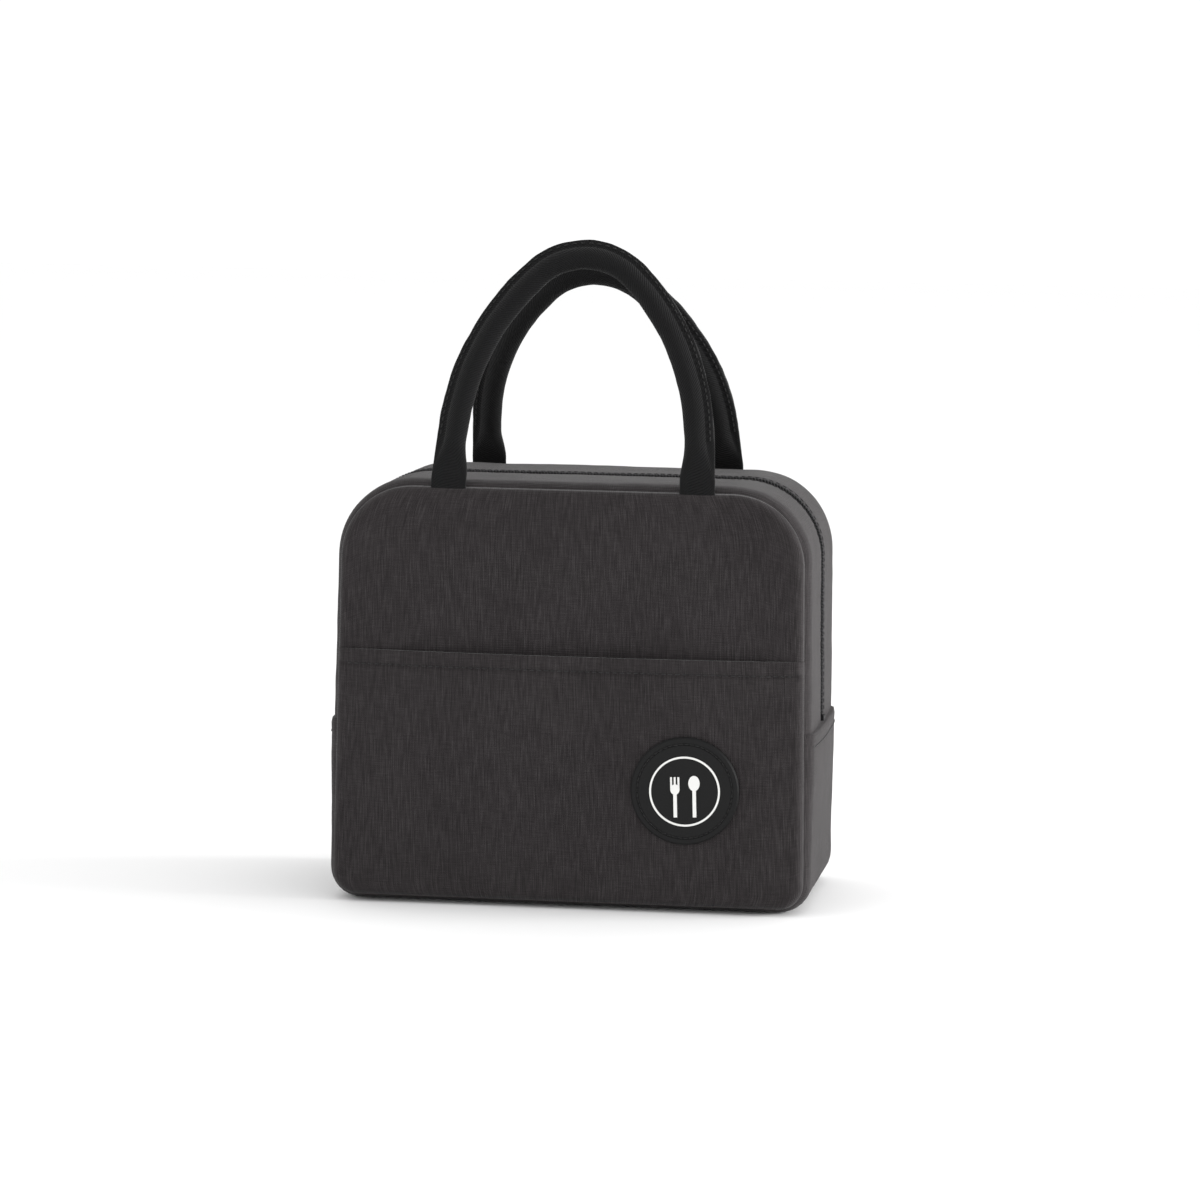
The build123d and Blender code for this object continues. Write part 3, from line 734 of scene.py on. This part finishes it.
def strip(end, sign, seed):
    """One of the two padded strips over the top, folded under beside the zip."""
    path = upper_path(FOLD_Z - 3 * MM, 2.6 * MM)
    y = ZIP_SLOT + (GUSSET_REACH - ZIP_SLOT) * eased(30, 0.25)
    from_zip, from_seam = y - ZIP_SLOT, GUSSET_REACH - y
    section = band_section(y)
    section[:, 0] -= 0.9 * MM * fade(from_zip, 0.9 * MM) + 0.35 * MM * bell(from_zip - ZIP_ROW, 1.0 * MM)
    inner = np.stack((np.minimum(section[:, 0] - LEAST_PAD, CROWN - PAD_T), y), axis=-1)
    outer = np.broadcast_to(section, (len(path[0]), *section.shape)).copy()
    inner = np.broadcast_to(inner, outer.shape).copy()
    spot = spots(path, y)
    gathers = spot * (1, 0.3)
    middle = np.sin(np.pi * np.clip(from_zip / (GUSSET_REACH - ZIP_SLOT), 0, 1)) ** 0.7
    outer[..., 0] += relief(spot, (0.6 * MM, 40 * MM, seed), (0.25 * MM, 13 * MM, seed + 5)) * middle
    outer[..., 0] += 0.5 * MM * wave(gathers, 9 * MM, seed + 9) * beside_seam(from_seam)
    outer[..., 0] += 0.25 * MM * wave(gathers, 7 * MM, seed + 12) * fade(from_zip, 5 * MM)
    outer[..., 1] *= sign
    inner[..., 1] *= sign
    skin = band(path, outer)
    piece = slab(f"{end}_top_strip", skin, band(path, inner), grid_lengths(skin))
    dress(piece, "oxford_cloth")
    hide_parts(f"{end}_zip_strip", f"{end}_zip_strip_foam")
    tree = surface_of(piece)
    goes_with(piece)
    return tree


def lower_gusset():
    """The sides and base in one padded piece. Its folded top edges lie over the strips' ends."""
    path = lower_path(FOLD_Z + 0.3 * MM, 2.4 * MM)
    y = GUSSET_REACH * (2 * eased(62, 0.25) - 1)
    outer = np.broadcast_to(band_section(y), (len(path[0]), len(y), 2)).copy()
    height = path[0][:, 1][:, None]
    across = (1 - (y / GUSSET_REACH) ** 2)[None]
    bulge = 1.3 * MM * fade(FOLD_Z - height, 12 * MM) + 2.0 * MM * smooth(height, 20 * MM, 75 * MM)
    outer[..., 0] += bulge * across**0.5
    sewn = 0.45 * MM * bell(FOLD_Z - GUSSET_ROW - height, 1.2 * MM)
    edge = 0.8 * MM * fade(FOLD_Z + 0.3 * MM - height, 0.8 * MM)
    outer[..., 0] -= (sewn + edge) * across**0.3
    spot = spots(path, y)
    outer[..., 0] += relief(spot, (0.5 * MM, 38 * MM, 21.0), (0.25 * MM, 12 * MM, 24.0)) * across
    from_seam = GUSSET_REACH - np.abs(y)[None]
    outer[..., 0] += 0.5 * MM * wave(spot * (1, 0.3), 9 * MM, 27.0) * beside_seam(from_seam)
    on_base = smooth(height, SEAM_LOW + 6 * MM, SEAM_LOW)
    outer[..., 0] = np.minimum(outer[..., 0], CROWN * on_base + SIDE_REACH * (1 - on_base))
    inner = np.stack((np.minimum(outer[..., 0] - LEAST_PAD, CROWN - PAD_T), outer[..., 1]), axis=-1)
    skin = band(path, outer)
    piece = slab("lower_gusset", skin, band(path, inner), grid_lengths(skin))
    dress(piece, "oxford_cloth")
    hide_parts("base_gusset", "base_gusset_foam")
    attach(piece, "tub")
    return surface_of(piece)


# ---------------------------------------------------------------- pocket
def pocket_stand_off(flat):
    """How far the pocket stands off the wall. Low down it follows the slope that the badge lies on."""
    reach = side_x(flat[..., 1]) - 3.2 * MM
    across = np.clip(1 - (flat[..., 0] / reach) ** 2, 0, 1)
    rise = POCKET_SLOPE * (flat[..., 1] - SEAM_LOW)
    return POCKET_GAPE * np.tanh((rise / POCKET_GAPE) ** 3) ** (1 / 3) * across


def pocket():
    """The front pocket: one sheet, its hem folded in and stitched."""
    flat = panel_grid(100, 84, top_z=HEM_Z)
    depth, along = edge_distance(flat)
    x, z = flat[..., 0], flat[..., 1]
    seam_y = WALL_BACK_Y + 0.9 * MM
    rest = seam_y + (FACE_Y + CLOTH_T - seam_y + pocket_stand_off(flat)) * rolled(depth)
    free = smooth(np.hypot(x - BADGE_X, z - BADGE_Z), BADGE_R + 1 * MM, BADGE_R + 16 * MM)
    held = np.maximum(depth < PINNED, free < 0.3).astype(float)
    skin = swelled(world(flat, -rest), held, 0.25, 1.5 * MM, slack=0.002)
    lift = relief(flat, (0.8 * MM, 60 * MM, 41.0), (0.35 * MM, 20 * MM, 44.0))
    lift = lift * smooth(depth, 3 * MM, 25 * MM) * free
    lift += 0.5 * MM * puckers(depth, along, 47.0) * free
    below = HEM_Z - z
    from_row = below - HEM_DEPTH
    hem = smooth(from_row, 1 * MM, -1 * MM)
    gathers = wave(np.stack((x, z * 0.25), axis=-1), 6 * MM, 51.0)
    lift += 0.7 * MM * hem - 1.3 * MM * bell(from_row, 1.1 * MM)
    lift += 0.9 * MM * gathers * bell(from_row, 6 * MM) * smooth(depth, 0, 8 * MM)
    lift -= 0.7 * MM * fade(below, 0.8 * MM)
    skin[..., 1] -= lift * smooth(depth, 0, 3 * MM)
    back = skin.copy()
    back[..., 1] += CLOTH_T * 0.9 + 1.2 * MM * hem * rolled(depth)
    piece = slab("front_pocket", skin, back, grid_lengths(skin))
    dress(piece, "oxford_cloth")
    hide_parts("pocket_lower", "pocket_upper")
    tree = surface_of(piece)
    goes_with(piece)
    return tree


# ---------------------------------------------------------------- stitches
BEFORE_Y = -0.12        # in front of the whole bag
BESIDE_X = 0.15         # beside it


def sewn_line(name, tree, starts, way, slot="oxford_cloth", look=THREAD):
    """Stitches along a row of points, each point dropped onto the cloth along a direction."""
    landed = []
    for point, down in zip(starts, np.broadcast_to(way, np.shape(starts))):
        hit, normal, _, _ = tree.ray_cast(Vector(point), Vector(down))
        if hit is not None:
            up = -1 if normal.dot(Vector(down)) > 0 else 1
            landed.append((np.array(hit), np.array(normal) * up))
    places = []
    for (a, up), (b, _) in zip(landed, landed[1:]):
        if np.linalg.norm(b - a) < 2.5 * STITCH_PITCH:
            places.append(((a + b) / 2 + up * (THREAD_R - THREAD_SINK), b - a, up))
    bead = capsule(STITCH_PITCH * STITCH_SHARE, THREAD_R * 2, THREAD_R * 2)
    return dress(beads(name, places, bead), slot, look)


def spaced(low, high):
    """Values from low to high, about a stitch apart."""
    return np.linspace(low, high, int(round((high - low) / STITCH_PITCH)) + 1)


def hem_stitches(tree):
    """The row that holds the pocket's turned-in hem."""
    z = HEM_Z - HEM_DEPTH
    x = spaced(-side_x(z) + 5 * MM, side_x(z) - 5 * MM)
    starts = np.stack((x, np.full(len(x), BEFORE_Y), np.full(len(x), z)), axis=1)
    goes_with(sewn_line("hem_stitches", tree, starts, (0, 1, 0)))


def strip_stitches(end, sign, tree):
    """The top-stitched row beside the zip."""
    path = upper_path(FOLD_Z + 4 * MM, STITCH_PITCH)
    row = np.array(((20 * MM, sign * (ZIP_SLOT + ZIP_ROW)),))
    starts = band(path, row)[:, 0]
    down = np.stack((-path[1][:, 1], np.zeros(len(starts)), path[1][:, 0]), axis=1)
    goes_with(sewn_line(f"{end}_zip_stitches", tree, starts, down))


def gusset_stitches(tree):
    """One row below each folded edge of the lower gusset."""
    y = spaced(-WALL_BACK_Y + 6 * MM, WALL_BACK_Y - 6 * MM)
    for side, label in ((-1, "left"), (1, "right")):
        x, z = np.full(len(y), side * BESIDE_X), np.full(len(y), FOLD_Z - GUSSET_ROW)
        starts = np.stack((x, y, z), axis=1)
        piece = sewn_line(f"gusset_stitches_{label}", tree, starts, (-side, 0, 0))
        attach(piece, "tub")


def badge_stitches():
    """The ring of stitches in the badge's groove."""
    tree = surface_of(frame["nodes"]["badge"])
    count = int(round(2 * math.pi * BADGE_ROW_R / BADGE_PITCH))
    angles = np.arange(count + 1) * 2 * math.pi / count
    x, z = BADGE_X + BADGE_ROW_R * np.cos(angles), BADGE_Z + BADGE_ROW_R * np.sin(angles)
    starts = np.stack((x, np.full(count + 1, BEFORE_Y), z), axis=1)
    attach(sewn_line("badge_stitches", tree, starts, (0, 1, 0), "badge_rubber", DARK_THREAD), "tub")


# ---------------------------------------------------------------- linings and bindings
def panel_lining(end, sign, seed):
    """The foil inside one wall, slightly creased."""
    flat = panel_grid(44, 40, inset=3 * MM)
    depth, _ = edge_distance(flat)
    free = smooth(depth, 4 * MM, 12 * MM)
    y = WALL_BACK_Y - 0.1 * MM - 0.25 * MM * (1 + wave(flat, 14 * MM, seed)) * free
    skin = world(flat, sign * (y - LINING_T))
    back = world(flat, sign * WALL_BACK_Y)
    piece = slab(f"{end}_wall_lining", skin, back, grid_lengths(skin))
    dress(piece, "foil_lining")
    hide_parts(f"{end}_lining_lower", f"{end}_lining_upper")
    goes_with(piece)


def band_lining(name, path, y, seed, nodes):
    """The foil inside a stretch of the gusset."""
    depth = CROWN - PAD_T
    creased = depth - 0.5 * MM - 0.2 * MM * (1 + wave(spots(path, y), 14 * MM, seed))
    face = np.stack(np.broadcast_arrays(creased, y[None]), axis=-1)
    back = np.stack(np.broadcast_arrays(np.full(creased.shape, depth - 0.1 * MM), y[None]), axis=-1)
    skin = band(path, face)
    piece = slab(name, skin, band(path, back), grid_lengths(skin))
    dress(piece, "foil_lining")
    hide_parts(*nodes)
    return piece


def gusset_linings():
    """Foil under both top strips, and one piece for the sides and base."""
    for end, sign, seed in (("front", -1, 61.0), ("rear", 1, 64.0)):
        y = sign * np.linspace(ZIP_SLOT, LINING_HALF, 14)
        path = upper_path(FOLD_Z + 0.3 * MM, 5 * MM)
        nodes = [f"{end}_zip_strip_lining"]
        goes_with(band_lining(f"{end}_strip_lining", path, y, seed, nodes))
    y = np.linspace(-LINING_HALF, LINING_HALF, 27)
    path = lower_path(FOLD_Z - 0.3 * MM, 5 * MM)
    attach(band_lining("gusset_lining", path, y, 67.0, ["base_gusset_lining"]), "tub")


def binding(end):
    """The bound seam allowance that stands in from the seam, all the way round inside."""
    low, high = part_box(f"{end}_binding_lower")
    half_t = (high.y - low.y) / 2
    sides = 10
    angles = np.arange(sides) * 2 * np.pi / sides
    oval = np.stack((np.cos(angles), np.sin(angles)), axis=-1)
    section = np.sign(oval) * np.abs(oval) ** 0.6 * (BINDING_TALL / 2, half_t)
    path = seam_loop(3 * MM)
    waver = 0.3 * MM * wave(np.stack((path[2], path[2] * 0), axis=-1), 15 * MM, 71.0)
    rings = np.broadcast_to(section, (len(path[0]), sides, 2)).copy()
    rings[..., 0] -= low.z - SEAM_LOW + BINDING_TALL / 2
    rings[..., 1] += (high.y + low.y) / 2 + waver[:, None]
    piece = tube(f"{end}_binding", band(path, rings), closed=True)
    dress(piece, "binding")
    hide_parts(f"{end}_binding_lower", f"{end}_binding_upper")
    goes_with(piece)


# ---------------------------------------------------------------- zip
def zip_tape(end, sign):
    """One woven tape, from fold to fold over the top."""
    path = upper_path(FOLD_Z + 0.2 * MM, 3 * MM)
    y = sign * np.linspace(TAPE_GAP, TAPE_W, 8)
    top = np.stack((np.full(len(y), CROWN - CLOTH_T), y), axis=-1)
    skin, back = band(path, top), band(path, top - (TAPE_T, 0))
    piece = slab(f"{end}_tape", skin, back, grid_lengths(skin))
    dress(piece, "zip_tape")
    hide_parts(f"{end}_zip_tape")
    goes_with(piece)


def zip_teeth(end, sign):
    """One coil: a row of rounded loops across the tape's edge, half a pitch off the other row."""
    path = upper_path(FOLD_Z + 1 * MM, TOOTH_PITCH)
    shift = TOOTH_PITCH / 4 * sign
    across = np.array(((CROWN - CLOTH_T + TOOTH[2] / 2, sign * TOOTH_Y),))
    places = []
    for middle, way in zip(band(path, across)[:, 0], path[1]):
        along = np.array((way[0], 0, way[1]))
        outward = np.array((way[1], 0, -way[0]))
        places.append((middle + along * shift, (0, sign, 0), outward))
    piece = beads(f"{end}_coil", places, capsule(*TOOTH))
    dress(piece, "zip_coil")
    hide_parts(f"{end}_zip_coil", "zip_ends")
    goes_with(piece)


# ---------------------------------------------------------------- handles
def handle_line():
    """The handle's middle line in its own plane, from the right end over the top to the left, and its
    direction at each point."""
    lean = math.atan2(HANDLE_LEG_IN, HANDLE_LEG)
    turn = math.radians(HANDLE_TURN)
    run = HANDLE_SPAN / 2 - HANDLE_LEG_IN
    rise = HANDLE_RISE - HANDLE_LEG
    a, b = math.cos(lean) - math.cos(turn), math.cos(turn)
    c, d = math.sin(turn) - math.sin(lean), 1 - math.sin(turn)
    side_r = (run * d - rise * b) / (a * d - b * c)
    top_r = (rise * a - run * c) / (a * d - b * c)
    points = [np.array((HANDLE_SPAN / 2, -HANDLE_TUCK)), np.array((HANDLE_SPAN / 2, 0.0))]
    angles = [0.0, lean]
    points.append(np.array((run, HANDLE_LEG)))
    angles.append(lean)
    for radius, start, stop in ((side_r, lean, turn), (top_r, turn, math.pi / 2)):
        centre = points[-1] - radius * np.array((math.cos(start), math.sin(start)))
        for angle in np.linspace(start, stop, 24)[1:]:
            points.append(centre + radius * np.array((math.cos(angle), math.sin(angle))))
            angles.append(angle)
    points, angles = np.array(points), np.array(angles)
    points = np.concatenate((points, points[-2::-1] * (-1, 1)))
    angles = np.concatenate((angles, np.pi - angles[-2::-1]))
    along = np.concatenate(([0], np.cumsum(np.linalg.norm(np.diff(points, axis=0), axis=1))))
    at = np.linspace(0, along[-1], int(round(along[-1] / HANDLE_STEP)) + 1)
    even = np.stack([np.interp(at, along, points[:, k]) for k in (0, 1)], axis=1)
    turned = np.interp(at, along, angles)
    return even, np.stack((-np.sin(turned), np.cos(turned)), axis=1), at


def handle_section():
    """The round webbing with its stitched fin, and the flat end, point for point."""
    steps = np.radians(np.linspace(24, 336, 22))
    oval = np.stack((np.cos(steps) * HANDLE_WIDE / 2, np.sin(steps) * HANDLE_DEEP / 2), axis=-1)
    root, tip = HANDLE_WIDE * 0.47, HANDLE_WIDE / 2 + HANDLE_FIN
    half = HANDLE_FIN_T / 2
    fin_up = [(tip, half * 0.7), (tip - 0.5 * MM, half), ((root + tip) / 2, half * 1.05), (root, half * 1.15)]
    fin_down = [(x, -y) for x, y in fin_up[::-1]]
    full = np.concatenate((fin_up, oval, fin_down))
    angle = np.arctan2(full[:, 1] / HANDLE_DEEP, (full[:, 0] - HANDLE_FIN / 2) / (tip + HANDLE_WIDE / 2))
    c, s = np.cos(angle), np.sin(angle)
    flat_x = np.sign(c) * np.abs(c) ** (1 / 3) * HANDLE_END_W / 2
    flat_y = np.sign(s) * np.abs(s) ** (1 / 3) * HANDLE_END_T / 2
    return full, np.stack((flat_x, flat_y), axis=-1)


def upright(points, end, sign):
    """Points of a handle's own plane, with the height off that plane last, leaned and set on its pivot."""
    lean = math.radians(LEANS[end])
    x, up, off = points[..., 0], points[..., 1], points[..., 2]
    y = up * math.sin(lean) - off * math.cos(lean)
    z = up * math.cos(lean) + off * math.sin(lean)
    return np.stack((x, sign * (PIVOT_Y - y), PIVOT_Z + z), axis=-1)


def carry_handle(end, sign, seed):
    """One handle: webbing rolled round a rope, its flat ends sewn into the top seam."""
    line, way, at = handle_line()
    outside = np.stack((way[:, 1], -way[:, 0]), axis=1)
    full, flat = handle_section()
    from_end = np.minimum(at, at[-1] - at) - HANDLE_TUCK
    share = smooth(from_end, 1 * MM, HANDLE_FLARE)[:, None, None]
    section = flat * (1 - share) + full * share
    spot = np.stack(np.broadcast_arrays(at[:, None], np.arange(len(full))[None] * 1.5 * MM), axis=-1)
    for swell, scale, layer in ((0.05, 16 * MM, seed), (0.03, 5 * MM, seed + 3)):
        section = section * (1 + share * swell * wave(spot, scale, layer)[..., None])
    flatwise = line[:, None, :] + outside[:, None, :] * section[..., :1]
    rings = upright(np.concatenate((flatwise, section[..., 1:]), axis=-1), end, sign)
    pivot_y = sign * PIVOT_Y
    sewn_in = rings[..., 2] < PIVOT_Z
    rings[..., 1] = np.where(sewn_in, pivot_y + (rings[..., 1] - pivot_y) * 0.6, rings[..., 1])
    piece = tube(f"{end}_carry_handle", rings)
    dress(piece, "webbing")
    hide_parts(f"{end}_handle", f"{end}_handle_rope", f"{end}_handle_tabs")
    tree = surface_of(piece)
    swing_with(piece)

    row = HANDLE_WIDE / 2 + HANDLE_FIN * 0.5
    steps = spaced(HANDLE_TUCK + HANDLE_FLARE, at[-1] - HANDLE_TUCK - HANDLE_FLARE)
    middle = np.stack([np.interp(steps, at, (line + outside * row)[:, k]) for k in (0, 1)], axis=1)
    for face, label in ((1, "outer"), (-1, "inner")):
        away = np.full((len(steps), 1), face * 20 * MM)
        starts = upright(np.concatenate((middle, away), axis=1), end, sign)
        down = upright(np.concatenate((middle, away * 0), axis=1), end, sign) - starts
        name = f"{end}_handle_{label}_stitches"
        swing_with(sewn_line(name, tree, starts, down, "webbing", DARK_THREAD))


def swing_with(piece):
    """A handle piece, its placing baked into its mesh."""
    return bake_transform(piece)


# ---------------------------------------------------------------- parts carried over from the frame
def carried_over():
    """The rigid pieces keep their own shape and get their finish."""
    for node, slot in (
        ("badge", "badge_rubber"),
        ("badge_motif", "white_print"),
        ("zip_stops", "zip_coil"),
        ("zip_slider", "zip_metal"),
        ("zip_pull", "zip_metal"),
    ):
        dress(frame["nodes"][node], slot)


# ---------------------------------------------------------------- setting
def floor():
    """A pale floor, level with the bag's base."""
    bpy.ops.mesh.primitive_plane_add(size=14, location=(0, 0, -0.2 * MM))
    plane = bpy.context.object
    plane.name = "floor"
    plane.data.materials.append(shader("pale_floor", (0.94, 0.94, 0.94), 0.9)[0])


def lamp(name, place, target, size, watts):
    """A square soft light aimed at a point."""
    light = bpy.data.lights.new(name, "AREA")
    light.size = size
    light.energy = watts
    made = bpy.data.objects.new(name, light)
    bpy.context.scene.collection.objects.link(made)
    made.location = place
    made.rotation_euler = (Vector(target) - Vector(place)).to_track_quat("-Z", "Y").to_euler()


def lights():
    """An even white surround, with a soft key from the right and a weak fill from the front left."""
    surround = bpy.data.worlds.new("surround")
    bpy.context.scene.world = surround
    surround.use_nodes = True
    backdrop = surround.node_tree.nodes["Background"]
    backdrop.inputs["Color"].default_value = (1, 1, 1, 1)
    backdrop.inputs["Strength"].default_value = 1.06
    middle = (0, 0, 0.12)
    lamp("key_right", (2.0, 0.15, 0.5), middle, 0.9, 44)
    lamp("front_left", (-1.3, -1.8, 1.3), middle, 1.2, 6)


def camera():
    """The camera, placed by its angles about the point it looks at."""
    turn, rise = math.radians(CAMERA_AZIMUTH), math.radians(CAMERA_ELEVATION)
    back = Vector((math.sin(turn) * math.cos(rise), -math.cos(turn) * math.cos(rise), math.sin(rise)))
    data = bpy.data.cameras.new("camera")
    data.lens = CAMERA_LENS
    data.sensor_width = 36.0
    data.clip_start, data.clip_end = 0.05, 50
    eye = bpy.data.objects.new("camera", data)
    bpy.context.scene.collection.objects.link(eye)
    eye.rotation_mode = "QUATERNION"
    eye.location = CAMERA_TARGET + back * CAMERA_DISTANCE
    roll = Matrix.Rotation(math.radians(CAMERA_ROLL), 3, "Z").to_quaternion()
    eye.rotation_quaternion = (-back).to_track_quat("-Z", "Y") @ roll
    bpy.context.scene.camera = eye


# ---------------------------------------------------------------- putting it together
def build():
    """Every piece of the bag; the last number of a call sets its noise."""
    wall("front", -1, 3.0)
    wall("rear", 1, 13.0)
    gusset_stitches(lower_gusset())
    hem_stitches(pocket())
    for end, sign, seed in (("front", -1, 31.0), ("rear", 1, 35.0)):
        strip_stitches(end, sign, strip(end, sign, seed))
        panel_lining(end, sign, seed + 50)
        binding(end)
        zip_tape(end, sign)
        zip_teeth(end, sign)
        carry_handle(end, sign, seed + 60)
    gusset_linings()
    carried_over()
    badge_stitches()


camera()
build()
floor()
lights()
bpy.context.scene.view_settings.view_transform = "Standard"
